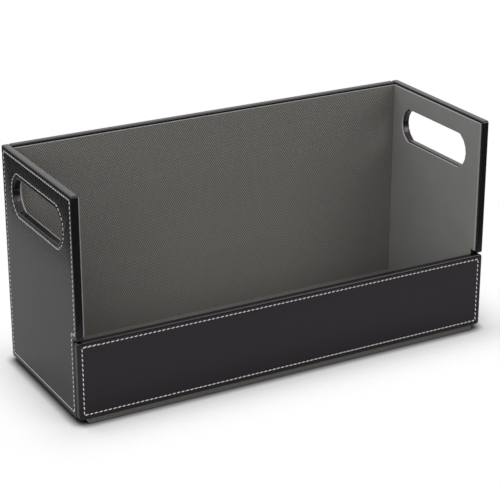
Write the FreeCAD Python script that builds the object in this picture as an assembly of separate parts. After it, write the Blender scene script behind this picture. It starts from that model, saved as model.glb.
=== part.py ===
"""Desk-top storage box for standing disc cases, with hand slots and a drop-down front flap.

Every wall is a stiff board wrapped in a sewn skin: the skin covers the outer face, goes round the edges and
through the hand slot, and is folded in and glued on the inner face, where a lining panel hides its cut edge.
The flap is a fifth wrapped board. It stands in notches at the front of the side walls, turns on a cloth hinge
along its lower edge and is held shut by magnets. A cloth-wrapped card closes the underside.

Millimetres. X runs along the box, Y from the flap to the back, Z up from the table.
The origin is the middle of the footprint.
"""
import FreeCAD
import Part
import os
from math import sqrt

Vector = FreeCAD.Vector

# Outside sizes
length = 424.0
depth = 156.0
height = 212.0
flap_top = 78.0

# Sheet goods
board = 5.2
skin = 0.8
card = 2.7
cloth = 0.5
lining = 1.6

# How far skin and cloth are folded in on the hidden face
turn_in = 14.0
slot_turn_in = 6.0
cloth_turn_in = 12.0

# Corners of the outlines, the rounding that a wrapped edge takes on its outer face, and how far the folded-in
# side of that edge and the edges of the linings are pressed flat
corner_r = 2.0
flap_corner_r = 3.0
edge_r = 1.2
cloth_edge_r = 0.4
folded_edge = 0.6
cloth_folded_edge = 0.2
lining_edge = 0.5

# Hand slots: straight long edges, bowed ends
slot_length = 107.0
slot_height = 32.0
slot_bow = 10.5
slot_corner_r = 6.0
slot_below_rim = 38.0

# Linings stop short of the rim and of the front edges, and clear the wrapped slot
lining_setback = 2.5
lining_slot_step = 1.0

# The underside card keeps back from the outside of the side walls and the back
bottom_setback = 9.0

# Bar magnets, one at each upper end of the flap and one facing it in each side wall
magnet_width = 3.6
magnet_height = 14.0
magnet_thickness = 2.0
magnet_below_flap_top = 14.0

# Clearances of the flap
seat_gap = 0.3
notch_gap = 1.5
hinge_gap = 0.3
flap_lining_side_gap = 1.0
flap_lining_floor_gap = 0.5

# Levels and faces that the pieces share
wall = board + 2 * skin
underside = card + 2 * cloth
floor_board_top = underside + board
floor_top = floor_board_top + lining
flap_bottom = underside + hinge_gap + cloth
notch_top = flap_top + notch_gap
left = -length / 2
front = -depth / 2
back = depth / 2
seat_y = front + wall + seat_gap
lined_left = left + wall + lining

LEFTWARD = Vector(-1, 0, 0)
FRONTWARD = Vector(0, -1, 0)
BACKWARD = Vector(0, 1, 0)
DOWNWARD = Vector(0, 0, -1)


def rounded_face(corners, radii):
    """Flat face through square corners, each rounded by an arc of its own radius, or left sharp at 0."""
    edges = []
    starts, ends = [], []
    for i, (corner, radius) in enumerate(zip(corners, radii)):
        to_last = (corners[i - 1] - corner).normalize() * radius
        to_next = (corners[(i + 1) % len(corners)] - corner).normalize() * radius
        starts.append(corner + to_last)
        ends.append(corner + to_next)
        if radius > 0:
            centre = corner + to_last + to_next
            middle = centre + (corner - centre).normalize() * radius
            edges.append(Part.Arc(starts[i], middle, ends[i]).toShape())
    for i in range(len(corners)):
        edges.append(Part.makeLine(ends[i - 1], starts[i]))
    return Part.Face(Part.Wire(Part.__sortEdges__(edges)))


def slot_face(grow):
    """The hand slot on the left wall's inner face, with its edge moved outward by grow.

    Each end is a shallow bow, and a smaller arc leads from it into the straight long edge.
    """
    x = left + wall
    middle_z = height - slot_below_rim
    half = slot_height / 2
    bow_r = (half**2 + slot_bow**2) / (2 * slot_bow)
    bow_y = slot_length / 2 - bow_r
    bow_centre = Vector(0, bow_y, 0)
    corner_rise = half - slot_corner_r
    corner_centre = Vector(0, bow_y + sqrt((bow_r - slot_corner_r) ** 2 - corner_rise**2), corner_rise)
    outward = (corner_centre - bow_centre).normalize()
    halfway = (outward + Vector(0, 0, 1)).normalize()
    corner_grown = slot_corner_r + grow
    quarter = [
        corner_centre + Vector(0, 0, corner_grown),
        corner_centre + halfway * corner_grown,
        bow_centre + outward * (bow_r + grow),
    ]
    tip = slot_length / 2 + grow

    def at(point, side, rise):
        return Vector(x, point.y * side, middle_z + point.z * rise)

    edges = []
    for side in (1, -1):
        for rise in (1, -1):
            edges.append(Part.Arc(*[at(point, side, rise) for point in quarter]).toShape())
        upper, lower = at(quarter[2], side, 1), at(quarter[2], side, -1)
        edges.append(Part.Arc(upper, Vector(x, tip * side, middle_z), lower).toShape())
    for rise in (1, -1):
        edges.append(Part.makeLine(at(quarter[0], 1, rise), at(quarter[0], -1, rise)))
    return Part.Face(Part.Wire(Part.__sortEdges__(edges)))


def wall_face(inset, slot_grow):
    """Side wall seen on its inner face: full depth above the notch, cut back to the flap's seat below it."""
    x = left + wall
    corners = [
        Vector(x, back - inset, underside + inset),
        Vector(x, back - inset, height - inset),
        Vector(x, front + inset, height - inset),
        Vector(x, front + inset, notch_top + inset),
        Vector(x, seat_y + inset, notch_top + inset),
        Vector(x, seat_y + inset, underside + inset),
    ]
    outer = max(corner_r - inset, 0)
    inner = corner_r + inset if outer > 0 else 0
    whole = rounded_face(corners, [outer, outer, outer, outer, inner, outer])
    return whole.cut(slot_face(slot_grow)).Faces[0]


def back_face(inset):
    """Back wall seen on its inner face, between the side walls."""
    y = back - wall
    right_x = -left - wall - inset
    corners = [
        Vector(-right_x, y, underside + inset),
        Vector(right_x, y, underside + inset),
        Vector(right_x, y, height - inset),
        Vector(-right_x, y, height - inset),
    ]
    return rounded_face(corners, [max(corner_r - inset, 0)] * 4)


def flap_face(inset):
    """Flap seen on its inner face, as long as the whole box."""
    y = front + wall
    right_x = -left - inset
    corners = [
        Vector(-right_x, y, flap_bottom + inset),
        Vector(right_x, y, flap_bottom + inset),
        Vector(right_x, y, flap_top - inset),
        Vector(-right_x, y, flap_top - inset),
    ]
    return rounded_face(corners, [max(flap_corner_r - inset, 0)] * 4)


def bottom_face(inset):
    """Underside card seen on its upper face, square-cornered and flush with the flap in front."""
    z = underside
    right_x = -left - bottom_setback - inset
    corners = [
        Vector(-right_x, front + inset, z),
        Vector(right_x, front + inset, z),
        Vector(right_x, back - bottom_setback - inset, z),
        Vector(-right_x, back - bottom_setback - inset, z),
    ]
    return rounded_face(corners, [0] * 4)


def rim_edges(shape, normal, level):
    """Edges that lie in one flat face of a panel, which is level away from the origin along the normal."""
    found = []
    for edge in shape.Edges:
        if all(abs(vertex.Point.dot(normal) - level) < 1e-6 for vertex in edge.Vertexes):
            found.append(edge)
    return found


def wrap(outline, core_outline, window, normal, core, sheet, rounding, flattening):
    """A board and the sheet wrapped round it. The outlines lie on the inner face and normal points out.

    The window is the part of the inner face that the folded-in sheet leaves bare.
    """
    blank = outline.extrude(normal * (core + 2 * sheet))
    inner = outline.CenterOfMass.dot(normal)
    blank = blank.makeFillet(rounding, rim_edges(blank, normal, inner + core + 2 * sheet))
    blank = blank.makeChamfer(flattening, rim_edges(blank, normal, inner))
    stiffener = core_outline.translated(normal * sheet).extrude(normal * core)
    cover = blank.cut(stiffener).cut(window.extrude(normal * sheet))
    return stiffener, cover


def line_panel(outline, window, normal):
    """Lining on a wrapped panel's inner face, with a pad that fills the window between the folded edges."""
    plate = outline.extrude(normal * -lining)
    inner = outline.CenterOfMass.dot(normal) - lining
    plate = plate.makeChamfer(lining_edge, rim_edges(plate, normal, inner))
    return plate.fuse(window.extrude(normal * skin)).removeSplitter()


def block(low, high):
    """Box between two corners."""
    size = high - low
    return Part.makeBox(size.x, size.y, size.z, low)


def mirrored(shape):
    """The same piece on the right-hand side."""
    return shape.mirror(Vector(0, 0, 0), Vector(1, 0, 0))


# Left wall. The right one is its mirror image.
wall_window = wall_face(turn_in, slot_turn_in)
left_board, left_cover = wrap(
    wall_face(0, 0), wall_face(skin, skin), wall_window, LEFTWARD, board, skin, edge_r, folded_edge
)
lining_corners = [
    Vector(left + wall, back - wall, floor_board_top),
    Vector(left + wall, back - wall, height - lining_setback),
    Vector(left + wall, front + lining_setback, height - lining_setback),
    Vector(left + wall, front + lining_setback, notch_top + lining_setback),
    Vector(left + wall, seat_y + lining_setback, notch_top + lining_setback),
    Vector(left + wall, seat_y + lining_setback, floor_board_top),
]
side_lining_face = rounded_face(lining_corners, [0] * 6).cut(slot_face(lining_slot_step)).Faces[0]
left_lining = line_panel(side_lining_face, wall_window, LEFTWARD)

# Back wall
back_window = back_face(turn_in)
back_board, back_cover = wrap(
    back_face(0), back_face(skin), back_window, BACKWARD, board, skin, edge_r, folded_edge
)
back_lining_corners = [
    Vector(lined_left, back - wall, floor_board_top),
    Vector(-lined_left, back - wall, floor_board_top),
    Vector(-lined_left, back - wall, height - lining_setback),
    Vector(lined_left, back - wall, height - lining_setback),
]
back_lining = line_panel(rounded_face(back_lining_corners, [0] * 4), back_window, BACKWARD)

# Floor board between the walls. Its lining cloth is folded down over the front edge.
floor_board = block(
    Vector(left + wall, seat_y + cloth, underside), Vector(-left - wall, back - wall, floor_board_top)
)
floor_lining = block(
    Vector(lined_left, seat_y, floor_board_top), Vector(-lined_left, back - wall - lining, floor_top)
)
floor_lining_drop = block(
    Vector(lined_left, seat_y, underside), Vector(-lined_left, seat_y + cloth, floor_board_top)
)
floor_lining = floor_lining.fuse(floor_lining_drop).removeSplitter()
floor_lining = floor_lining.makeFillet(
    cloth_edge_r,
    [
        edge
        for edge in rim_edges(floor_lining, BACKWARD, seat_y)
        if rim_edges(edge, -DOWNWARD, floor_top)
    ],
)

# Underside card in its cloth, which shows below the flap
bottom_card, bottom_cloth = wrap(
    bottom_face(0),
    bottom_face(cloth),
    bottom_face(cloth_turn_in),
    DOWNWARD,
    card,
    cloth,
    cloth_edge_r,
    cloth_folded_edge,
)

# Flap, shut
flap_window = flap_face(turn_in)
flap_board, flap_cover = wrap(
    flap_face(0), flap_face(skin), flap_window, FRONTWARD, board, skin, edge_r, folded_edge
)
flap_lining_left = lined_left + flap_lining_side_gap
flap_lining_corners = [
    Vector(flap_lining_left, front + wall, floor_top + flap_lining_floor_gap),
    Vector(-flap_lining_left, front + wall, floor_top + flap_lining_floor_gap),
    Vector(-flap_lining_left, front + wall, flap_top - lining_setback),
    Vector(flap_lining_left, front + wall, flap_top - lining_setback),
]
flap_lining = line_panel(rounded_face(flap_lining_corners, [0] * 4), flap_window, FRONTWARD)

# The hinge cloth's leaf on the flap's lower edge. It folds about the upper front edge of the underside cloth.
hinge_leaf = block(
    Vector(left + bottom_setback, front, flap_bottom - cloth),
    Vector(-left - bottom_setback, front + wall, flap_bottom),
)

# Magnets, let into the boards under the skin where the flap meets the side walls
magnet_x = left + wall / 2
magnet_z = flap_top - magnet_below_flap_top
magnet_half = Vector(magnet_width / 2, 0, magnet_height / 2)
wall_magnet_face = Vector(magnet_x, seat_y + skin, magnet_z)
flap_magnet_face = Vector(magnet_x, front + skin + board, magnet_z)
inward = BACKWARD * magnet_thickness
wall_magnet = block(wall_magnet_face - magnet_half, wall_magnet_face + magnet_half + inward)
flap_magnet = block(flap_magnet_face - magnet_half - inward, flap_magnet_face + magnet_half)
wall_magnets = Part.makeCompound([wall_magnet, mirrored(wall_magnet)])
flap_magnets = Part.makeCompound([flap_magnet, mirrored(flap_magnet)])
left_board = left_board.cut(wall_magnet)
flap_board = flap_board.cut(flap_magnets)

pieces = {
    "left_board": left_board,
    "left_cover": left_cover,
    "left_lining": left_lining,
    "right_board": mirrored(left_board),
    "right_cover": mirrored(left_cover),
    "right_lining": mirrored(left_lining),
    "back_board": back_board,
    "back_cover": back_cover,
    "back_lining": back_lining,
    "floor_board": floor_board,
    "floor_lining": floor_lining,
    "bottom_card": bottom_card,
    "bottom_cloth": bottom_cloth,
    "wall_magnets": wall_magnets,
    "flap_board": flap_board,
    "flap_cover": flap_cover,
    "flap_lining": flap_lining,
    "flap_magnets": flap_magnets,
    "hinge_leaf": hinge_leaf,
}

os.makedirs("parts", exist_ok=True)
for name, shape in pieces.items():
    shape.exportStep(f"parts/{name}.step")
    print(f"{name:14s} {len(shape.Solids)} solid(s), {shape.Volume / 1000:8.2f} cm3, valid {shape.isValid()}")
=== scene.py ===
from itertools import pairwise
from math import atan2, cos, pi, radians, sin, sqrt

import bmesh
import bpy
from mathutils import Matrix, Vector


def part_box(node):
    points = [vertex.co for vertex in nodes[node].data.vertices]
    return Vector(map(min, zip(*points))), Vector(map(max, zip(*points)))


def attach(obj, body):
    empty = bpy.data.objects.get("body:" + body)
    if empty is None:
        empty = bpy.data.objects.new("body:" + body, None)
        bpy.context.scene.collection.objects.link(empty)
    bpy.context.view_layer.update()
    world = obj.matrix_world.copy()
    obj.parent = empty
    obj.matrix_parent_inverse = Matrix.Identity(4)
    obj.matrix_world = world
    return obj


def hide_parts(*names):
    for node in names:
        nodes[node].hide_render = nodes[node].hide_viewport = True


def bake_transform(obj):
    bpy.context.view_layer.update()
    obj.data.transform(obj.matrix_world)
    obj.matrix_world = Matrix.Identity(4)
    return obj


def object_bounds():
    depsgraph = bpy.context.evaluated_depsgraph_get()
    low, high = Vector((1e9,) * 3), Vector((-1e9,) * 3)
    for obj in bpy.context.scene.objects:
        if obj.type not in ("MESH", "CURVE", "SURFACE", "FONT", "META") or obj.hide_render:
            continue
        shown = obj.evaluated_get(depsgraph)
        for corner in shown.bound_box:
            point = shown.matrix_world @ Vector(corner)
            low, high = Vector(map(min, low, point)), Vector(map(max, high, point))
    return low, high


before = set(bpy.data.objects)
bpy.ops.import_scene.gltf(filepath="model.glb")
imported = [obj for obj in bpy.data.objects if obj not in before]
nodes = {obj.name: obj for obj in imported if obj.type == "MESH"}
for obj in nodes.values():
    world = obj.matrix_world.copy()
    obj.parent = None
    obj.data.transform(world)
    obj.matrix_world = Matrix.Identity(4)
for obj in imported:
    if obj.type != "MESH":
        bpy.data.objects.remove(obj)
cad_low, cad_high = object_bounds()
MM = 0.001


# Core boards
# Five stiff panels of medium-density fibreboard carry the box: two sides, a back, a floor and the flap.
# They are sawn to size and then hidden by the skins and linings that are glued round them.
def linear(hex_colour):
    """An sRGB hex colour as the linear RGBA that shaders take."""
    channels = [int(hex_colour[i : i + 2], 16) / 255 for i in (1, 3, 5)]
    return [c / 12.92 if c <= 0.04045 else ((c + 0.055) / 1.055) ** 2.4 for c in channels] + [1.0]


def add_node(tree, kind, inputs=None, **settings):
    """Add one node with its settings. An input is a value, or the socket of another node to link from."""
    made = tree.nodes.new(kind)
    for name, value in settings.items():
        setattr(made, name, value)
    for name, value in (inputs or {}).items():
        if isinstance(value, bpy.types.NodeSocket):
            tree.links.new(value, made.inputs[name])
        else:
            made.inputs[name].default_value = value
    return made


def start_material(name):
    """A new material with a Principled shader: the material, its node tree and the shader."""
    material = bpy.data.materials.new(name)
    material.use_nodes = True
    return material, material.node_tree, material.node_tree.nodes["Principled BSDF"]


# Mix node sockets by place, because the colour sockets share their names with the other kinds
MIX_A, MIX_B, MIX_RESULT = 6, 7, 2

FIBRE_MM = 1.5


def make_fibreboard():
    """Raw fibreboard: pale brown, dull, with short felted fibres."""
    material, tree, shader = start_material("fibreboard")
    place = add_node(tree, "ShaderNodeTexCoord").outputs["Object"]
    fibres = add_node(
        tree,
        "ShaderNodeTexNoise",
        {"Vector": place, "Scale": 1 / (FIBRE_MM * MM), "Detail": 6.0, "Roughness": 0.7},
    )
    mix = add_node(
        tree,
        "ShaderNodeMix",
        {"Factor": fibres.outputs["Fac"], MIX_A: linear("#7d6245"), MIX_B: linear("#a98a66")},
        data_type="RGBA",
    )
    tree.links.new(mix.outputs[MIX_RESULT], shader.inputs["Base Color"])
    shader.inputs["Roughness"].default_value = 0.85
    return material


def dress(node_name, material):
    """Give a carried-over solid its finish."""
    mesh = nodes[node_name].data
    mesh.materials.clear()
    mesh.materials.append(material)


fibreboard = make_fibreboard()
for board_name in ("left_board", "right_board", "back_board", "floor_board", "flap_board"):
    dress(board_name, fibreboard)


# Magnets
# Four small bar magnets hold the flap shut, two in the flap and two in the side walls, under the skin.
# They are nickel-plated, pressed into pockets in the boards.
SCRATCH_MM = 0.4


def make_nickel():
    """Barrel-plated nickel: bright, slightly warm, with tumbled micro-scratches."""
    material, tree, shader = start_material("plated_nickel")
    place = add_node(tree, "ShaderNodeTexCoord").outputs["Object"]
    scratches = add_node(
        tree, "ShaderNodeTexNoise", {"Vector": place, "Scale": 1 / (SCRATCH_MM * MM), "Detail": 3.0}
    )
    rough = add_node(
        tree,
        "ShaderNodeMapRange",
        {"Value": scratches.outputs["Fac"], "To Min": 0.2, "To Max": 0.4},
    )
    shader.inputs["Base Color"].default_value = linear("#c9c5bd")
    shader.inputs["Metallic"].default_value = 1.0
    tree.links.new(rough.outputs["Result"], shader.inputs["Roughness"])
    return material


nickel = make_nickel()
for magnet_name in ("wall_magnets", "flap_magnets"):
    dress(magnet_name, nickel)


# Side wall skins
# Each wall is wrapped in one piece of black polyurethane leather. It is cut with its slot, sewn round the
# border and the slot, pulled over the edges and through the slot, and glued down inside.
SKIN = 0.8 * MM
TURN_IN = 14 * MM
SLOT_TURN_IN = 6 * MM
CORNER_R = 2 * MM
EDGE_R = 1.2 * MM
FOLDED_EDGE = 1.0 * MM
SEAT_GAP = 0.3 * MM
NOTCH_GAP = 1.5 * MM
SLOT_LENGTH = 107 * MM
SLOT_HEIGHT = 32 * MM
SLOT_BOW = 10.5 * MM
SLOT_CORNER_R = 6 * MM
SLOT_BELOW_RIM = 38 * MM
SEAM_INSET = 4.6 * MM
SEAM_HALF_WIDTH = 0.9 * MM
SEAM_DEPTH = 0.3 * MM
FIELD_DEPTH = 0.12 * MM
PRESSED = 0.05 * MM
CORNER_STEPS = 5
EDGE_STEPS = 5
SLOT_ARC_STEPS = 6
SHARPEST_R = 0.05 * MM
SHARP_ANGLE = radians(50)
# How far the middle of a quarter arc lies in from both of its sides, as a share of its radius
ARC_MIDDLE = 0.3

wall_low, wall_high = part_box("left_cover")
flap_low, flap_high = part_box("flap_cover")
WALL = wall_high.x - wall_low.x


def outline_corners(points, inset):
    """Corners of a square-cornered outline, anticlockwise, moved inward: each point, and whether convex."""
    found = []
    for i, point in enumerate(points):
        before = (point - points[i - 1]).normalized()
        after = (points[(i + 1) % len(points)] - point).normalized()
        inward = Vector((-before.y - after.y, before.x + after.x))
        found.append((point + inward * inset, before.cross(after) > 0))
    return found


def outline_loop(bm, points, radius, inset, depth):
    """Edge loop round a panel, inset from its outline and below its outer face, with rounded corners."""
    known = set(bm.edges)
    corners = outline_corners(points, inset)
    verts = [bm.verts.new((*corner, depth)) for corner, convex in corners]
    bm.faces.new(verts)
    for vert, (corner, convex) in zip(verts, corners):
        rounding = max(radius - inset, SHARPEST_R) if convex else radius + inset
        bmesh.ops.bevel(
            bm,
            geom=[vert],
            offset=rounding,
            offset_type="OFFSET",
            segments=CORNER_STEPS,
            profile=0.5,
            affect="VERTICES",
            material=-1,
        )
    loop = [edge for edge in bm.edges if edge not in known]
    inside = {face for edge in loop for face in edge.link_faces}
    bmesh.ops.delete(bm, geom=list(inside), context="FACES_ONLY")
    return loop


def slot_loop(bm, grow, depth):
    """Edge loop round the hand slot. At each end a shallow bow runs between two tighter corner arcs."""
    known = set(bm.edges)
    half = SLOT_HEIGHT / 2
    middle = Vector((0, wall_high.z - SLOT_BELOW_RIM, depth))
    bow_r = (half**2 + SLOT_BOW**2) / (2 * SLOT_BOW)
    bow_centre = middle + Vector((SLOT_LENGTH / 2 - bow_r, 0, 0))
    rise = half - SLOT_CORNER_R
    run = sqrt((bow_r - SLOT_CORNER_R) ** 2 - rise**2)
    lean = atan2(rise, run)
    upper_centre = bow_centre + Vector((run, rise, 0))
    lower_centre = bow_centre + Vector((run, -rise, 0))
    start = bm.verts.new(upper_centre + Vector((0, SLOT_CORNER_R + grow, 0)))
    end = start
    arcs = [(upper_centre, pi / 2 - lean), (bow_centre, 2 * lean), (lower_centre, pi / 2 - lean)]
    for centre, angle in arcs:
        spun = bmesh.ops.spin(
            bm,
            geom=[end],
            cent=centre,
            axis=(0, 0, 1),
            dvec=(0, 0, 0),
            angle=-angle,
            steps=SLOT_ARC_STEPS,
            use_duplicate=False,
        )
        end = next(item for item in spun["geom_last"] if isinstance(item, bmesh.types.BMVert))
    near = [edge for edge in bm.edges if edge not in known]
    copied = bmesh.ops.duplicate(bm, geom=list({vert for edge in near for vert in edge.verts}) + near)
    far_start, far_end = copied["vert_map"][start], copied["vert_map"][end]
    far_verts = [item for item in copied["geom"] if isinstance(item, bmesh.types.BMVert)]
    bmesh.ops.rotate(bm, verts=far_verts, cent=middle, matrix=Matrix.Rotation(pi, 3, "Z"))
    bm.edges.new((end, far_start))
    bm.edges.new((far_end, start))
    return [edge for edge in bm.edges if edge not in known]


def edge_round(radius, depth):
    """Section of a rounded edge, from a panel's side to its outer face at that depth: inset and depth."""
    turns = [step / EDGE_STEPS * pi / 2 for step in range(EDGE_STEPS + 1)]
    return [(radius * (1 - cos(turn)), depth + radius * (1 - sin(turn))) for turn in turns]


def skin_section(turned_in):
    """Section through the wrapped edge, from the cut edge inside to the sewn field: inset and depth."""
    eased = ARC_MIDDLE * FOLDED_EDGE
    return [
        (turned_in, WALL - PRESSED),
        (FOLDED_EDGE, WALL),
        (eased, WALL - eased),
        (0, WALL - FOLDED_EDGE),
        *edge_round(EDGE_R, PRESSED),
        ((EDGE_R + SEAM_INSET - SEAM_HALF_WIDTH) / 2, 0),
        (SEAM_INSET - SEAM_HALF_WIDTH, PRESSED),
        (SEAM_INSET, SEAM_DEPTH),
        (SEAM_INSET + SEAM_HALF_WIDTH, FIELD_DEPTH),
    ]


def join_loops(bm, loops):
    """Skin over a row of edge loops, each joined to the next."""
    for one, other in pairwise(loops):
        bmesh.ops.bridge_loops(bm, edges=one + other)


def make_piece(name, bm, material, body=None, place=None):
    """Turn a finished bmesh into an object at the origin. It rides on a body, where one is given."""
    if place is not None:
        bmesh.ops.transform(bm, matrix=place, verts=bm.verts)
    bmesh.ops.recalc_face_normals(bm, faces=bm.faces)
    for face in bm.faces:
        face.smooth = True
    mesh = bpy.data.meshes.new(name)
    bm.to_mesh(mesh)
    bm.free()
    mesh.set_sharp_from_angle(angle=SHARP_ANGLE)
    mesh.materials.append(material)
    piece = bpy.data.objects.new(name, mesh)
    bpy.context.scene.collection.objects.link(piece)
    if body is not None:
        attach(piece, body)
    return piece


def thicken(piece, thickness, even=True):
    """Give a sheet its thickness, inward from its outer side."""
    solid = piece.modifiers.new("thickness", "SOLIDIFY")
    solid.thickness = thickness
    solid.offset = -1
    solid.use_even_offset = even


def shade_flat_faces(piece):
    """Shade a panel's large faces flat, right up to its eased edges."""
    weighted = piece.modifiers.new("flat faces", "WEIGHTED_NORMAL")
    weighted.keep_sharp = True


def make_skin(name, points, radius, body, place, has_slot=False):
    """A wrapped and sewn panel skin: its edge section is carried round the outline and the slot."""
    bm = bmesh.new()
    loops = [outline_loop(bm, points, radius, inset, depth) for inset, depth in skin_section(TURN_IN)]
    join_loops(bm, loops)
    if has_slot:
        slot_loops = [slot_loop(bm, inset, depth) for inset, depth in skin_section(SLOT_TURN_IN)]
        join_loops(bm, slot_loops)
        bmesh.ops.triangle_fill(bm, edges=loops[-1] + slot_loops[-1], use_beauty=True)
    else:
        bmesh.ops.contextual_create(bm, geom=loops[-1])
    piece = make_piece(name, bm, leather, body, place)
    thicken(piece, SKIN)
    shade_flat_faces(piece)
    return piece


GRAIN_MM = 1.6
GRAIN_DEPTH_MM = 0.07
WAVE_MM = 45.0
WAVE_DEPTH_MM = 0.12
STREAK_MM = 4.0
# The streaks are drawn out upward, by this scale against the one across
STREAK_DRAWN = 0.12


def make_leather():
    """Black polyurethane leather: a satin film with a fine rolled-in grain over a slightly uneven glue bed.

    The grain is drawn coarser than the real one, so that it breaks up reflections in the render. The slow
    waves of the glue bed bend them.
    """
    material, tree, shader = start_material("black_pu_leather")
    place = add_node(tree, "ShaderNodeTexCoord").outputs["Object"]
    grain = add_node(
        tree, "ShaderNodeTexVoronoi", {"Vector": place, "Scale": 1 / (GRAIN_MM * MM)}, feature="SMOOTH_F1"
    )
    waves = add_node(
        tree, "ShaderNodeTexNoise", {"Vector": place, "Scale": 1 / (WAVE_MM * MM), "Detail": 2.0}
    )
    drawn = add_node(tree, "ShaderNodeMapping", {"Vector": place, "Scale": (1.0, 1.0, STREAK_DRAWN)})
    streaks = add_node(
        tree,
        "ShaderNodeTexNoise",
        {"Vector": drawn.outputs["Vector"], "Scale": 1 / (STREAK_MM * MM), "Detail": 3.0},
    )
    tint = add_node(
        tree,
        "ShaderNodeMix",
        {"Factor": streaks.outputs["Fac"], MIX_A: linear("#121213"), MIX_B: linear("#141415")},
        data_type="RGBA",
    )
    gloss = add_node(
        tree, "ShaderNodeMapRange", {"Value": streaks.outputs["Fac"], "To Min": 0.14, "To Max": 0.155}
    )
    swell = add_node(
        tree,
        "ShaderNodeBump",
        {"Height": waves.outputs["Fac"], "Distance": WAVE_DEPTH_MM * MM, "Strength": 1.0},
    )
    pebble = add_node(
        tree,
        "ShaderNodeBump",
        {
            "Height": grain.outputs["Distance"],
            "Distance": GRAIN_DEPTH_MM * MM,
            "Strength": 1.0,
            "Normal": swell.outputs["Normal"],
        },
    )
    tree.links.new(tint.outputs[MIX_RESULT], shader.inputs["Base Color"])
    tree.links.new(gloss.outputs["Result"], shader.inputs["Roughness"])
    tree.links.new(pebble.outputs["Normal"], shader.inputs["Normal"])
    shader.inputs["IOR"].default_value = 1.5
    shader.inputs["Specular Tint"].default_value = linear("#fff2ff")
    return material


leather = make_leather()

seat_y = flap_high.y + SEAT_GAP
notch_z = flap_high.z + NOTCH_GAP
wall_points = [
    Vector((seat_y, wall_low.z)),
    Vector((wall_high.y, wall_low.z)),
    Vector((wall_high.y, wall_high.z)),
    Vector((wall_low.y, wall_high.z)),
    Vector((wall_low.y, notch_z)),
    Vector((seat_y, notch_z)),
]
# Panel places: across the outline, up it, and down into the panel from its outer face
left_place = Matrix(((0, 0, 1, wall_low.x), (1, 0, 0, 0), (0, 1, 0, 0), (0, 0, 0, 1)))
right_place = Matrix.Scale(-1, 4, (1, 0, 0)) @ left_place
for side, place in (("left", left_place), ("right", right_place)):
    skin = make_skin(f"{side}_skin", wall_points, CORNER_R, "box", place, has_slot=True)
    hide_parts(f"{side}_cover")


# Side wall stitching
# A lockstitch in thick off-white polyester thread follows each wall's border and its hand slot. It was sewn
# before the skin was wrapped, so it holds the skin down into a shallow seam.
STITCH_PITCH = 4.45 * MM
STITCH_LENGTH = 3.4 * MM
STITCH_WIDTH = 0.9 * MM
STITCH_HEIGHT = 0.75 * MM
STITCH_SLANT = radians(10)
STITCH_DEPTH = 0.12 * MM
STITCH_SIDES = 8
STITCH_RINGS = 6
THREAD_FUZZ_MM = 0.5
PLY_DEPTH_MM = 0.1


def make_thread():
    """Bonded polyester sewing thread: off-white, dull, with a soft fibre sheen and a twisted lay."""
    material, tree, shader = start_material("off_white_thread")
    place = add_node(tree, "ShaderNodeTexCoord").outputs["Object"]
    fuzz = add_node(
        tree, "ShaderNodeTexNoise", {"Vector": place, "Scale": 1 / (THREAD_FUZZ_MM * MM), "Detail": 2.0}
    )
    tint = add_node(
        tree,
        "ShaderNodeMix",
        {"Factor": fuzz.outputs["Fac"], MIX_A: linear("#dad7d1"), MIX_B: linear("#f6f4f0")},
        data_type="RGBA",
    )
    ply = add_node(
        tree,
        "ShaderNodeBump",
        {"Height": fuzz.outputs["Fac"], "Distance": PLY_DEPTH_MM * MM, "Strength": 1.0},
    )
    tree.links.new(tint.outputs[MIX_RESULT], shader.inputs["Base Color"])
    tree.links.new(ply.outputs["Normal"], shader.inputs["Normal"])
    shader.inputs["Roughness"].default_value = 0.7
    shader.inputs["Sheen Weight"].default_value = 0.3
    return material


def border_paths(points):
    """The straight seams of a panel's border, each from corner to corner."""
    corners = [corner for corner, convex in outline_corners(points, SEAM_INSET)]
    return [[corner, corners[(i + 1) % len(corners)]] for i, corner in enumerate(corners)]


def slot_path():
    """The seam round the hand slot as a closed row of points."""
    bm = bmesh.new()
    loop = slot_loop(bm, SEAM_INSET, 0)
    edge = loop[0]
    vert = edge.verts[0]
    path = [vert.co.xy]
    for _ in loop:
        vert = edge.other_vert(vert)
        path.append(vert.co.xy)
        edge = next(link for link in vert.link_edges if link is not edge)
    bm.free()
    return path


def make_stitch():
    """One stitch: a rounded thread lying along X, drawn thinner towards the two needle holes."""
    bm = bmesh.new()
    size = Matrix.Diagonal((STITCH_HEIGHT / 2, STITCH_WIDTH / 2, STITCH_LENGTH / 2, 1))
    along_seam = Matrix.Rotation(pi / 2, 4, "Y")
    bmesh.ops.create_uvsphere(
        bm, u_segments=STITCH_SIDES, v_segments=STITCH_RINGS, radius=1, matrix=along_seam @ size
    )
    mesh = bpy.data.meshes.new("stitch")
    bm.to_mesh(mesh)
    bm.free()
    return mesh


def sew(name, paths, body, place):
    """Stitches along seams as one piece, evenly spaced on each seam and at a slight slant to it."""
    bm = bmesh.new()
    for path in paths:
        length = sum((b - a).length for a, b in pairwise(path))
        pitch = length / round(length / STITCH_PITCH)
        due = pitch / 2
        for a, b in pairwise(path):
            run = b - a
            heading = atan2(run.y, run.x) + STITCH_SLANT
            while due < run.length:
                spot = a + run * (due / run.length)
                laid = stitch.copy()
                laid.transform(Matrix.Translation((*spot, STITCH_DEPTH)) @ Matrix.Rotation(heading, 4, "Z"))
                bm.from_mesh(laid)
                bpy.data.meshes.remove(laid)
                due += pitch
            due -= run.length
    return make_piece(name, bm, thread, body, place)


stitch = make_stitch()
thread = make_thread()
for side, place in (("left", left_place), ("right", right_place)):
    sew(f"{side}_stitching", border_paths(wall_points) + [slot_path()], "box", place)


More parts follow.
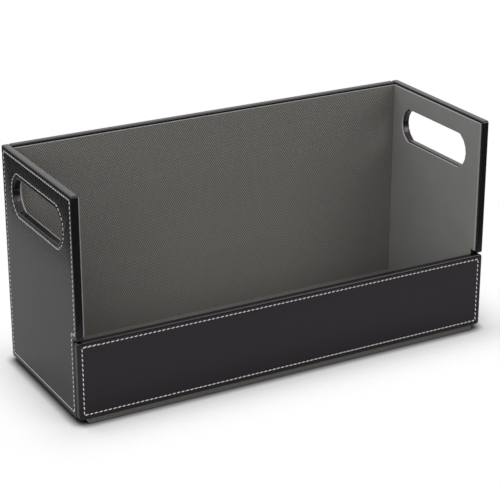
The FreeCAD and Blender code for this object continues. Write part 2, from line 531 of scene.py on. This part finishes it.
# Side wall linings
# A smooth grey panel on thin card is glued inside each side wall. It stops a little short of the rim and
# the front edge, so the folded skin shows round it. Its own slot is a little larger than the wrapped one.
LINING = 1.6 * MM
LINING_SETBACK = 2.5 * MM
LINING_SLOT_STEP = 1.0 * MM
LINING_EDGE_R = 0.5 * MM
MOTTLE_MM = 25.0
MOTTLE_DEPTH_MM = 0.05
CARD_FIBRE_MM = 2.0
# The cosine above which a face counts as facing that way
FACING = 0.9


def make_lining(name, points, material, body, place, depth, has_slot=False):
    """A thin lining panel, standing on a wrapped panel's inner face at that depth, with eased cut edges."""
    eased = ARC_MIDDLE * LINING_EDGE_R
    section = [
        (0, depth),
        (0, depth + LINING - LINING_EDGE_R),
        (eased, depth + LINING - eased),
        (LINING_EDGE_R, depth + LINING),
    ]
    bm = bmesh.new()
    loops = [outline_loop(bm, points, SHARPEST_R, inset, level) for inset, level in section]
    join_loops(bm, loops)
    if has_slot:
        slot_loops = [slot_loop(bm, LINING_SLOT_STEP + inset, level) for inset, level in section]
        join_loops(bm, slot_loops)
    for i in (0, -1):
        if has_slot:
            bmesh.ops.triangle_fill(bm, edges=loops[i] + slot_loops[i], use_beauty=True)
        else:
            bmesh.ops.contextual_create(bm, geom=loops[i])
    bm.normal_update()
    for face in bm.faces:
        face.material_index = 0 if abs(face.normal.z) > FACING else 1
    piece = make_piece(name, bm, material, body, place)
    piece.data.materials.append(cut_card)
    shade_flat_faces(piece)
    return piece


def make_smooth_lining():
    """Smooth coated lining: mid grey, satin, with a faint mottle and no grain."""
    material, tree, shader = start_material("smooth_coated_lining")
    place = add_node(tree, "ShaderNodeTexCoord").outputs["Object"]
    mottle = add_node(
        tree, "ShaderNodeTexNoise", {"Vector": place, "Scale": 1 / (MOTTLE_MM * MM), "Detail": 4.0}
    )
    tint = add_node(
        tree,
        "ShaderNodeMix",
        {"Factor": mottle.outputs["Fac"], MIX_A: linear("#848482"), MIX_B: linear("#90908d")},
        data_type="RGBA",
    )
    swell = add_node(
        tree,
        "ShaderNodeBump",
        {"Height": mottle.outputs["Fac"], "Distance": MOTTLE_DEPTH_MM * MM, "Strength": 1.0},
    )
    tree.links.new(tint.outputs[MIX_RESULT], shader.inputs["Base Color"])
    tree.links.new(swell.outputs["Normal"], shader.inputs["Normal"])
    shader.inputs["Roughness"].default_value = 0.45
    return material


def make_cut_card():
    """The cut edge of the lining's card: pale grey, dull and fibrous, tinged with the lining's dye."""
    material, tree, shader = start_material("cut_card_edge")
    place = add_node(tree, "ShaderNodeTexCoord").outputs["Object"]
    fibres = add_node(
        tree, "ShaderNodeTexNoise", {"Vector": place, "Scale": 1 / (CARD_FIBRE_MM * MM), "Detail": 4.0}
    )
    tint = add_node(
        tree,
        "ShaderNodeMix",
        {"Factor": fibres.outputs["Fac"], MIX_A: linear("#8b8a86"), MIX_B: linear("#b3b1ac")},
        data_type="RGBA",
    )
    tree.links.new(tint.outputs[MIX_RESULT], shader.inputs["Base Color"])
    shader.inputs["Roughness"].default_value = 0.75
    return material


smooth_lining = make_smooth_lining()
cut_card = make_cut_card()
side_lining_low, side_lining_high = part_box("left_lining")
side_lining_points = [
    Vector((seat_y + LINING_SETBACK, side_lining_low.z)),
    Vector((side_lining_high.y, side_lining_low.z)),
    Vector((side_lining_high.y, side_lining_high.z)),
    Vector((side_lining_low.y, side_lining_high.z)),
    Vector((side_lining_low.y, notch_z + LINING_SETBACK)),
    Vector((seat_y + LINING_SETBACK, notch_z + LINING_SETBACK)),
]
for side, place in (("left", left_place), ("right", right_place)):
    lining = make_lining(
        f"{side}_smooth_lining", side_lining_points, smooth_lining, "box", place, WALL, has_slot=True
    )
    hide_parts(f"{side}_lining")


# Back wall
# The back is wrapped and sewn like the sides and stands between them. Inside it carries a coarse woven
# cloth on thin card, grey-brown, cut to fit between the side linings.
def rectangle(low_across, high_across, low_up, high_up):
    """Corners of a rectangular panel, anticlockwise."""
    return [
        Vector((low_across, low_up)),
        Vector((high_across, low_up)),
        Vector((high_across, high_up)),
        Vector((low_across, high_up)),
    ]


back_low, back_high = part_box("back_cover")
back_points = rectangle(back_low.x, back_high.x, back_low.z, back_high.z)
back_place = Matrix(((1, 0, 0, 0), (0, 0, -1, back_high.y), (0, 1, 0, 0), (0, 0, 0, 1)))
back_skin = make_skin("back_skin", back_points, CORNER_R, "box", back_place)
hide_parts("back_cover")
sew("back_stitching", border_paths(back_points), "box", back_place)

WEAVE_MM = 1.7
WEAVE_DEPTH_MM = 0.35
YARN_FUZZ_MM = 1.2
# At a scale of 1 the wave texture runs through this many radians in one unit
WAVE_RADIANS = 20


def make_woven_cloth():
    """Coarse polyester cloth in a diagonal basket weave: grey-brown, dull, darker between its yarns.

    The yarns are drawn a little wider than the real ones, so that the weave shows in the render.
    """
    material, tree, shader = start_material("woven_polyester")
    place = add_node(tree, "ShaderNodeTexCoord").outputs["Object"]
    # Both diagonals of the two planes that the cloth lies in: upright and flat
    scale = 2 * pi / (WAVE_RADIANS * WEAVE_MM * MM)
    bands = []
    for turn in (pi / 4, -pi / 4):
        turned = add_node(
            tree, "ShaderNodeMapping", {"Vector": place, "Rotation": (turn, turn, 0)}, vector_type="POINT"
        )
        bands.append(
            add_node(
                tree,
                "ShaderNodeTexWave",
                {"Vector": turned.outputs["Vector"], "Scale": scale, "Distortion": 0.4, "Detail": 1.0},
                wave_type="BANDS",
                bands_direction="X",
            )
        )
    weave = add_node(
        tree,
        "ShaderNodeMath",
        {0: bands[0].outputs["Fac"], 1: bands[1].outputs["Fac"]},
        operation="MULTIPLY",
    )
    fuzz = add_node(
        tree, "ShaderNodeTexNoise", {"Vector": place, "Scale": 1 / (YARN_FUZZ_MM * MM), "Detail": 3.0}
    )
    weave_and_painted_rib_shade = add_node(
        tree,
        "ShaderNodeMath",
        {0: weave.outputs["Value"], 1: fuzz.outputs["Fac"]},
        operation="MULTIPLY",
    )
    tint = add_node(
        tree,
        "ShaderNodeMix",
        {"Factor": weave_and_painted_rib_shade.outputs["Value"], MIX_A: linear("#585552"), MIX_B: linear("#c8c3bc")},
        data_type="RGBA",
    )
    relief = add_node(
        tree,
        "ShaderNodeBump",
        {"Height": weave.outputs["Value"], "Distance": WEAVE_DEPTH_MM * MM, "Strength": 1.0},
    )
    tree.links.new(tint.outputs[MIX_RESULT], shader.inputs["Base Color"])
    tree.links.new(relief.outputs["Normal"], shader.inputs["Normal"])
    shader.inputs["Roughness"].default_value = 0.8
    shader.inputs["Sheen Weight"].default_value = 0.15
    return material


woven_cloth = make_woven_cloth()
back_lining_low, back_lining_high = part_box("back_lining")
back_lining_points = rectangle(
    back_lining_low.x, back_lining_high.x, back_lining_low.z, back_lining_high.z
)
back_lining = make_lining("back_woven_lining", back_lining_points, woven_cloth, "box", back_place, WALL)
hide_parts("back_lining")


# Floor lining
# The same woven cloth on card covers the floor board between the linings. At the front the cloth alone is
# folded down over the board's edge, from wall to wall, where the flap hides it.
CLOTH = 0.5 * MM
FLOOR_FOLD_R = 0.4 * MM
FLOOR_FOLD_STEPS = 4
FOLD_EAR = 1.5 * MM
TOUCHING = 1e-6

floor_low, floor_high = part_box("floor_lining")
floor_size = floor_high - floor_low


def make_floor_lining():
    """The floor panel and its folded front as one solid, with the folded edge rounded."""
    bm = bmesh.new()
    bmesh.ops.create_cube(bm, size=1)
    bmesh.ops.scale(bm, vec=(floor_size.x, floor_size.y, LINING), verts=bm.verts)
    bmesh.ops.translate(
        bm,
        vec=((floor_low.x + floor_high.x) / 2, (floor_low.y + floor_high.y) / 2, floor_high.z - LINING / 2),
        verts=bm.verts,
    )
    fold_y = floor_low.y + CLOTH
    bmesh.ops.bisect_plane(
        bm, geom=[*bm.verts, *bm.edges, *bm.faces], plane_co=(0, fold_y, 0), plane_no=(0, 1, 0)
    )
    below_fold = [
        face for face in bm.faces if face.normal.z < -FACING and face.calc_center_median().y < fold_y
    ]
    grown = bmesh.ops.extrude_face_region(bm, geom=below_fold)
    bmesh.ops.delete(bm, geom=below_fold, context="FACES_ONLY")
    dropped = [item for item in grown["geom"] if isinstance(item, bmesh.types.BMVert)]
    bmesh.ops.translate(bm, vec=(0, 0, floor_low.z - (floor_high.z - LINING)), verts=dropped)
    bm.normal_update()
    for side in (-1, 1):
        ends = [
            face
            for face in bm.faces
            if side * face.normal.x > FACING and face.calc_center_median().y < fold_y
        ]
        grown = bmesh.ops.extrude_face_region(bm, geom=ends)
        bmesh.ops.delete(bm, geom=ends, context="FACES_ONLY")
        ear = [item for item in grown["geom"] if isinstance(item, bmesh.types.BMVert)]
        bmesh.ops.translate(bm, vec=(side * FOLD_EAR, 0, 0), verts=ear)
    on_top, in_front = floor_high.z - TOUCHING, floor_low.y + TOUCHING
    fold = [
        edge
        for edge in bm.edges
        if all(vert.co.z > on_top and vert.co.y < in_front for vert in edge.verts)
    ]
    bmesh.ops.bevel(
        bm,
        geom=fold,
        offset=FLOOR_FOLD_R,
        segments=FLOOR_FOLD_STEPS,
        profile=0.5,
        affect="EDGES",
        material=-1,
    )
    return make_piece("floor_woven_lining", bm, woven_cloth, "box")


floor_lining = make_floor_lining()
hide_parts("floor_lining")


# Underside
# A grey card wrapped in the woven cloth closes the bottom. The cloth goes round the card's edges and is
# glued down on its hidden upper face. The box stands on it.
FLECK_MM = 2.0


def make_card():
    """Grey board from waste paper: dull, with darker flecks."""
    material, tree, shader = start_material("grey_board")
    place = add_node(tree, "ShaderNodeTexCoord").outputs["Object"]
    flecks = add_node(
        tree, "ShaderNodeTexNoise", {"Vector": place, "Scale": 1 / (FLECK_MM * MM), "Detail": 5.0}
    )
    tint = add_node(
        tree,
        "ShaderNodeMix",
        {"Factor": flecks.outputs["Fac"], MIX_A: linear("#6f6b65"), MIX_B: linear("#8d8982")},
        data_type="RGBA",
    )
    tree.links.new(tint.outputs[MIX_RESULT], shader.inputs["Base Color"])
    shader.inputs["Roughness"].default_value = 0.9
    return material


dress("bottom_card", make_card())

CLOTH_TURN_IN = 12 * MM
CLOTH_EDGE_R = 0.4 * MM
under_low, under_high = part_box("bottom_cloth")
UNDERSIDE = under_high.z - under_low.z
# The hinge cloth lies over the front edge, so the underside cloth stops behind it
under_front = under_low.y + CLOTH
under_points = rectangle(under_low.x, under_high.x, under_front, under_high.y)
under_place = Matrix(((1, 0, 0, 0), (0, 1, 0, 0), (0, 0, 1, under_low.z), (0, 0, 0, 1)))


def make_underside():
    """The cloth round the card: flat below, over the rounded lower edge, up the side and in on top."""
    section = [(CLOTH_TURN_IN, UNDERSIDE), (0, UNDERSIDE), *edge_round(CLOTH_EDGE_R, 0)]
    bm = bmesh.new()
    loops = [outline_loop(bm, under_points, SHARPEST_R, inset, depth) for inset, depth in section]
    join_loops(bm, loops)
    bmesh.ops.contextual_create(bm, geom=loops[-1])
    piece = make_piece("underside_cloth", bm, woven_cloth, "box", under_place)
    thicken(piece, CLOTH)
    return piece


underside = make_underside()
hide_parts("bottom_cloth")


# Front flap
# The flap is a fifth wrapped and sewn panel as long as the whole box, with rounder corners. Its inner face
# carries the woven cloth between the side walls. A few doubled stitches at one corner lock its seam.
FLAP_CORNER_R = 3 * MM
BACKTACK_STITCHES = 3
BACKTACK_SHIFT = 0.7 * MM

flap_points = rectangle(flap_low.x, flap_high.x, flap_low.z, flap_high.z)
flap_place = Matrix(((1, 0, 0, 0), (0, 0, 1, flap_low.y), (0, 1, 0, 0), (0, 0, 0, 1)))
flap_skin = make_skin("flap_skin", flap_points, FLAP_CORNER_R, "flap", flap_place)
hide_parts("flap_cover")
flap_seams = border_paths(flap_points)
tack_start = flap_seams[2][1] + Vector((BACKTACK_SHIFT, BACKTACK_SHIFT / 2))
backtack = [tack_start, tack_start + Vector((BACKTACK_STITCHES * STITCH_PITCH, 0))]
sew("flap_stitching", [*flap_seams, backtack], "flap", flap_place)

flap_lining_low, flap_lining_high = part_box("flap_lining")
flap_lining_points = rectangle(
    flap_lining_low.x, flap_lining_high.x, flap_lining_low.z, flap_lining_high.z
)
flap_lining = make_lining("flap_woven_lining", flap_lining_points, woven_cloth, "flap", flap_place, WALL)
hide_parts("flap_lining")


# Hinge cloth
# A strip of ribbed cloth covers the underside's front edge, turns over its top and is glued under the
# flap's lower edge. The fold is the hinge, and the strip shows as a thin ribbed band below the flap.
RIB_PITCH = 2.7 * MM
RIB_HEIGHT = 0.25 * MM
RIB_SLANT = 0.9
RIB_STEPS = 6
ROWS_PER_MM = 2
# The ribs end halfway round the fold, where the strip goes in under the flap
RIBS_END = pi / 4
TAPE_FUZZ_MM = 0.8
TAPE_FUZZ_DEPTH_MM = 0.1
# The bend starts below the leaf, at the front, and ends behind the front of the fold
FOLD_R = CLOTH
leaf_low, leaf_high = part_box("hinge_leaf")


def make_ribbed_cloth():
    """Ribbed polyester tape: grey-brown and dull, with painted highlight on rib crests and painted shade
    between.
    """
    material, tree, shader = start_material("ribbed_polyester")
    crest = add_node(tree, "ShaderNodeAttribute", attribute_name="crest").outputs["Fac"]
    place = add_node(tree, "ShaderNodeTexCoord").outputs["Object"]
    fuzz = add_node(
        tree, "ShaderNodeTexNoise", {"Vector": place, "Scale": 1 / (TAPE_FUZZ_MM * MM), "Detail": 3.0}
    )
    weave_and_painted_rib_shade = add_node(tree, "ShaderNodeMath", {0: crest, 1: fuzz.outputs["Fac"]}, operation="MULTIPLY")
    # The dark colour is painted shade between the ribs, the pale one a painted highlight on their crests
    tint = add_node(
        tree,
        "ShaderNodeMix",
        {"Factor": weave_and_painted_rib_shade.outputs["Value"], MIX_A: linear("#1c1b1a"), MIX_B: linear("#8c8882")},
        data_type="RGBA",
    )
    relief = add_node(
        tree,
        "ShaderNodeBump",
        {"Height": fuzz.outputs["Fac"], "Distance": TAPE_FUZZ_DEPTH_MM * MM, "Strength": 1.0},
    )
    tree.links.new(tint.outputs[MIX_RESULT], shader.inputs["Base Color"])
    tree.links.new(relief.outputs["Normal"], shader.inputs["Normal"])
    shader.inputs["Roughness"].default_value = 0.85
    return material


def make_hinge_cloth():
    """The strip as a fine grid, bent round the fold, with slanted ribs raised on its outer side."""
    rise = leaf_high.z - FOLD_R - CLOTH_EDGE_R
    bend = FOLD_R * pi / 2
    back_run = leaf_high.y - leaf_low.y - FOLD_R
    width, travel = leaf_high.x - leaf_low.x, rise + bend + back_run
    bm = bmesh.new()
    bmesh.ops.create_grid(
        bm,
        x_segments=round(width / RIB_PITCH) * RIB_STEPS,
        y_segments=round(travel / MM * ROWS_PER_MM),
        size=0.5,
    )
    bmesh.ops.scale(bm, vec=(width, travel, 1), verts=bm.verts)
    # Each vertex's crest raises its rib and also sets the painted highlight and shade in the tape's colour
    crest = bm.verts.layers.float.new("crest")
    for vert in bm.verts:
        path = vert.co.y + travel / 2
        turned = min(max((path - rise) / bend, 0), 1) * pi / 2
        outward = Vector((0, -cos(turned), sin(turned)))
        centre = Vector((vert.co.x, leaf_low.y + FOLD_R, leaf_high.z - FOLD_R))
        centre.z += min(path - rise, 0)
        centre.y += max(path - rise - bend, 0)
        phase = (vert.co.x + RIB_SLANT * path) / RIB_PITCH
        vert[crest] = 0.5 + 0.5 * cos(2 * pi * phase)
        rib = RIB_HEIGHT * vert[crest] if turned < RIBS_END else 0
        vert.co = centre + outward * (FOLD_R - RIB_HEIGHT + rib)
    piece = make_piece("hinge_cloth", bm, make_ribbed_cloth())
    thicken(piece, CLOTH - RIB_HEIGHT, even=False)
    return piece


hinge_cloth = make_hinge_cloth()
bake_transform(hinge_cloth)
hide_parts("hinge_leaf")


# Floor and light
# The box stands on white paper that ends close by, so past it the glossy leather mirrors a dark room. The
# camera sees the paper without its ends. Soft lamps light it, one up behind and two low in front.
PAPER_LEFT = 0.366
PAPER_RIGHT = 0.6
PAPER_FRONT = 0.25
PAPER_BACK = 1.0
PAPER_DROP = 0.1 * MM
FLOOR_RADIUS = 0.5
FLOOR_SIDES = 96
FADE_END = 0.08
CONTACT_REACH = 10 * MM
CONTACT_DEPTH = 2.5


def make_stage(name, bm, surface):
    """A piece of the set."""
    mesh = bpy.data.meshes.new(name)
    bm.to_mesh(mesh)
    bm.free()
    mesh.materials.append(surface)
    piece = bpy.data.objects.new(name, mesh)
    bpy.context.scene.collection.objects.link(piece)
    return piece


def make_paper():
    """The sheet that lights and colours the box from below. The camera looks past it."""
    material, tree, shader = start_material("white_paper")
    shader.inputs["Base Color"].default_value = linear("#c8c8c8")
    shader.inputs["Roughness"].default_value = 0.9
    shader.inputs["Specular IOR Level"].default_value = 0.0
    bm = bmesh.new()
    bmesh.ops.create_grid(bm, x_segments=1, y_segments=1, size=0.5)
    bmesh.ops.scale(bm, vec=(PAPER_LEFT + PAPER_RIGHT, PAPER_FRONT + PAPER_BACK, 1), verts=bm.verts)
    middle = ((PAPER_RIGHT - PAPER_LEFT) / 2, (PAPER_BACK - PAPER_FRONT) / 2, -PAPER_DROP)
    bmesh.ops.translate(bm, vec=middle, verts=bm.verts)
    make_stage("paper_sheet", bm, material).visible_camera = False


def make_floor():
    """The paper as the camera sees it: painted contact shade where the box touches it, then shadow, then
    plain white.
    """
    material, tree, shader = start_material("white_floor")
    tree.nodes.remove(shader)
    place = add_node(tree, "ShaderNodeTexCoord").outputs["Object"]
    folded = add_node(tree, "ShaderNodeVectorMath", {0: place}, operation="ABSOLUTE")
    beyond = add_node(
        tree, "ShaderNodeVectorMath", {0: folded.outputs["Vector"], 1: cad_high}, operation="SUBTRACT"
    )
    outside = add_node(
        tree, "ShaderNodeVectorMath", {0: beyond.outputs["Vector"], 1: (0, 0, 0)}, operation="MAXIMUM"
    )
    away = add_node(tree, "ShaderNodeVectorMath", {0: outside.outputs["Vector"]}, operation="LENGTH")
    near = add_node(
        tree,
        "ShaderNodeMapRange",
        {"Value": away.outputs["Value"], "From Max": FADE_END, "To Min": 1.0, "To Max": 0.0},
    ).outputs["Result"]
    shadow = add_node(tree, "ShaderNodeMath", {0: near, 1: near}, operation="MULTIPLY")
    # Ambient occlusion darkens the paper's colour close to the box: a painted contact shadow
    cover = add_node(tree, "ShaderNodeAmbientOcclusion", {"Distance": CONTACT_REACH})
    bare = add_node(
        tree, "ShaderNodeMath", {0: cover.outputs["AO"], 1: CONTACT_DEPTH}, operation="POWER"
    ).outputs["Value"]
    far = add_node(tree, "ShaderNodeMath", {0: 1.0, 1: shadow.outputs["Value"]}, operation="SUBTRACT")
    fade = add_node(tree, "ShaderNodeMath", {0: far.outputs["Value"], 1: bare}, operation="MULTIPLY")
    tint = add_node(
        tree,
        "ShaderNodeMix",
        {"Factor": bare, MIX_A: linear("#000000"), MIX_B: linear("#f6f6f6")},
        data_type="RGBA",
    )
    paper = add_node(tree, "ShaderNodeBsdfDiffuse", {"Color": tint.outputs[MIX_RESULT]})
    clear = add_node(tree, "ShaderNodeBsdfTransparent")
    mix = add_node(
        tree,
        "ShaderNodeMixShader",
        {"Fac": fade.outputs["Value"], 1: paper.outputs["BSDF"], 2: clear.outputs["BSDF"]},
    )
    tree.links.new(mix.outputs["Shader"], tree.nodes["Material Output"].inputs["Surface"])
    bm = bmesh.new()
    bmesh.ops.create_circle(bm, cap_ends=True, segments=FLOOR_SIDES, radius=FLOOR_RADIUS)
    floor = make_stage("floor", bm, material)
    floor.visible_diffuse = False
    floor.visible_glossy = False
    floor.visible_shadow = False


make_paper()
make_floor()

ROOM_LIGHT = 0.6
ROOM_BELOW = 0.08
HORIZON_BLUR = 0.05


def make_world():
    """White for the camera and for reflections, a softer even light from above, dark below the paper."""
    world = bpy.data.worlds.new("studio")
    bpy.context.scene.world = world
    world.use_nodes = True
    tree = world.node_tree
    background = tree.nodes["Background"]
    ray = add_node(tree, "ShaderNodeLightPath")
    above = add_node(
        tree,
        "ShaderNodeMapRange",
        {"Value": ray.outputs["Is Glossy Ray"], "To Min": ROOM_LIGHT, "To Max": 1.0},
    )
    direction = add_node(tree, "ShaderNodeTexCoord").outputs["Generated"]
    height = add_node(tree, "ShaderNodeSeparateXYZ", {"Vector": direction}).outputs["Z"]
    room = add_node(
        tree,
        "ShaderNodeMapRange",
        {
            "Value": height,
            "From Min": -HORIZON_BLUR,
            "From Max": HORIZON_BLUR,
            "To Min": ROOM_BELOW,
            "To Max": above.outputs["Result"],
        },
    )
    seen = add_node(
        tree,
        "ShaderNodeMath",
        {0: ray.outputs["Is Camera Ray"], 1: ray.outputs["Is Transmission Ray"]},
        operation="MAXIMUM",
    )
    strength = add_node(
        tree, "ShaderNodeMath", {0: room.outputs["Result"], 1: seen.outputs["Value"]}, operation="MAXIMUM"
    )
    background.inputs["Color"].default_value = linear("#ffffff")
    tree.links.new(strength.outputs["Value"], background.inputs["Strength"])


make_world()

SOFTBOX_SIZE = 0.9
SOFTBOX_WATTS = 8.0
SOFTBOX_PLACE = Vector((-0.2, 0.65, 1.5))
FILL_SIZE = 0.7
LEFT_FILL_WATTS = 6.0
LEFT_FILL_PLACE = Vector((-0.95, -1.15, 0.75))
RIGHT_FILL_WATTS = 5.0
RIGHT_FILL_PLACE = Vector((0.8, -1.25, 0.75))


def add_lamp(name, size, watts, place):
    """A square soft lamp turned to the box."""
    lamp = bpy.data.lights.new(name, "AREA")
    lamp.size = size
    lamp.energy = watts
    stand = bpy.data.objects.new(name, lamp)
    stand.location = place
    stand.rotation_euler = (-place).to_track_quat("-Z", "Y").to_euler()
    bpy.context.scene.collection.objects.link(stand)


add_lamp("softbox", SOFTBOX_SIZE, SOFTBOX_WATTS, SOFTBOX_PLACE)
add_lamp("left_fill", FILL_SIZE, LEFT_FILL_WATTS, LEFT_FILL_PLACE)
add_lamp("right_fill", FILL_SIZE, RIGHT_FILL_WATTS, RIGHT_FILL_PLACE)

bpy.context.scene.view_settings.view_transform = "Standard"


# Camera
# It looks down from the front left with a long lens, so the upright edges stay nearly parallel.
AZIMUTH = radians(-29)
ELEVATION = radians(22)
DISTANCE = 1.65
AIM_DROP = 10 * MM
LENS_MM = 126.5

aim = (cad_low + cad_high) / 2 - Vector((0, 0, AIM_DROP))
towards_camera = Vector((sin(AZIMUTH) * cos(ELEVATION), -cos(AZIMUTH) * cos(ELEVATION), sin(ELEVATION)))
lens = bpy.data.cameras.new("camera")
lens.lens = LENS_MM
camera = bpy.data.objects.new("camera", lens)
camera.location = aim + towards_camera * DISTANCE
camera.rotation_euler = (-towards_camera).to_track_quat("-Z", "Y").to_euler()
bpy.context.scene.collection.objects.link(camera)
bpy.context.scene.camera = camera
